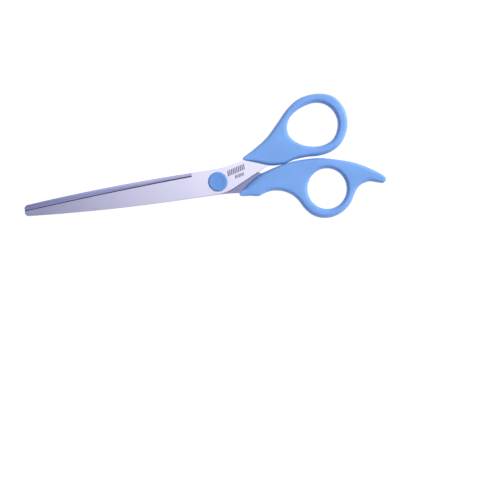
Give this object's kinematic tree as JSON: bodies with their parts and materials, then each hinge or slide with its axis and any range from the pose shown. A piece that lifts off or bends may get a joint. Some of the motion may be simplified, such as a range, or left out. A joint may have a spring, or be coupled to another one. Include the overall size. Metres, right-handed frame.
{
  "type": "hairdressing scissors",
  "caption": "Hair-cutting scissors with long straight blunt-tipped blades, a capped pivot screw, offset moulded ring handles and a finger rest.",
  "frame": {"origin": "on the pivot axis, at the plane of the rear cap's flat face, on which the scissors lie", "axes": "+Z along the pivot axis, out of the front of the scissors; +X from the pivot towards the handles, so the closed blades point along -X; +Y towards the thumb ring"},
  "size_m": [0.2, 0.0688, 0.008],
  "materials": {
    "front_steel": "satin ground stainless steel, grind lines across the blade",
    "back_steel": "satin ground stainless steel",
    "hardware_steel": "turned steel, satin",
    "handle_plastic": "cornflower blue moulded plastic, satin",
    "cap_plastic": "cornflower blue moulded plastic, satin",
    "nylon": "natural nylon"
  },
  "bodies": {
    "still_half": {"back_blade": "back_steel", "finger_handle": "handle_plastic", "pivot_screw": "hardware_steel", "spring_washer": "hardware_steel", "glide_washer": "nylon", "pivot_nut": "hardware_steel", "front_cap": "cap_plastic", "rear_cap": "cap_plastic"},
    "moving_half": {"front_blade": "front_steel", "thumb_handle": "handle_plastic"}
  },
  "joints": [
    {"name": "pivot", "type": "hinge", "parent": "still_half", "child": "moving_half", "pos_m": [0, 0, 0.004], "axis": [0, 0, 1], "range_deg": [0, 105]}
  ]
}
